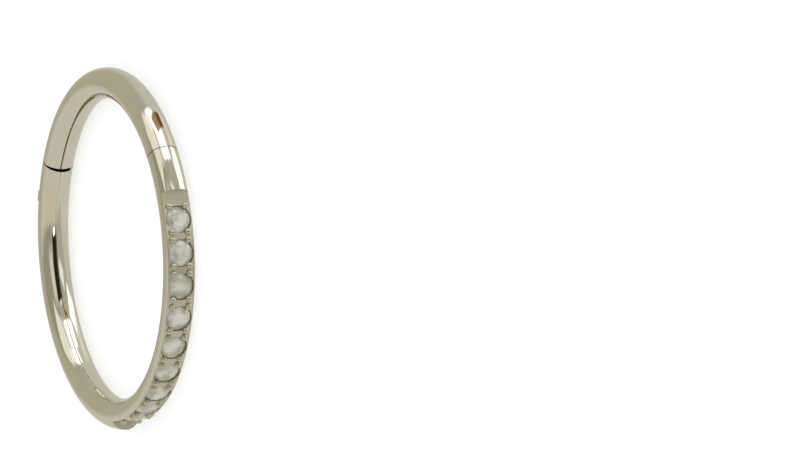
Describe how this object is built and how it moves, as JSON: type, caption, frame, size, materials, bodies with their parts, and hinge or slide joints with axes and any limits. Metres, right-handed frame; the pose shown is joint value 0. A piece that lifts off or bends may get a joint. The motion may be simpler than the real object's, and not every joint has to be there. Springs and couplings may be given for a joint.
{
  "type": "hinged piercing hoop",
  "caption": "Round wire piercing hoop with a hinged clicker segment and a row of round clear stones along its outer face.",
  "frame": {"origin": "centre of the ring, on the surface it lies on", "axes": "+Z is the ring's axis, upwards from the surface; the row of stones is on the -Y side and the hinged segment on the +X side"},
  "size_m": [0.014, 0.0138, 0.0012],
  "materials": {
    "metal": "mirror polished steel",
    "stone": "cut and polished clear stone"
  },
  "bodies": {
    "hoop": {"hoop_body": "metal", "hinge_pin": "metal", "stone_1": "stone", "stone_2": "stone", "stone_3": "stone", "stone_4": "stone", "stone_5": "stone", "stone_6": "stone", "stone_7": "stone", "stone_8": "stone", "stone_9": "stone"},
    "segment": {"hinged_segment": "metal"}
  },
  "joints": [
    {"name": "segment_hinge", "type": "hinge", "parent": "hoop", "child": "segment", "pos_m": [0.00226, 0.0062, 0.0006], "axis": [0, 0, 1], "range_deg": [0, 85]}
  ]
}
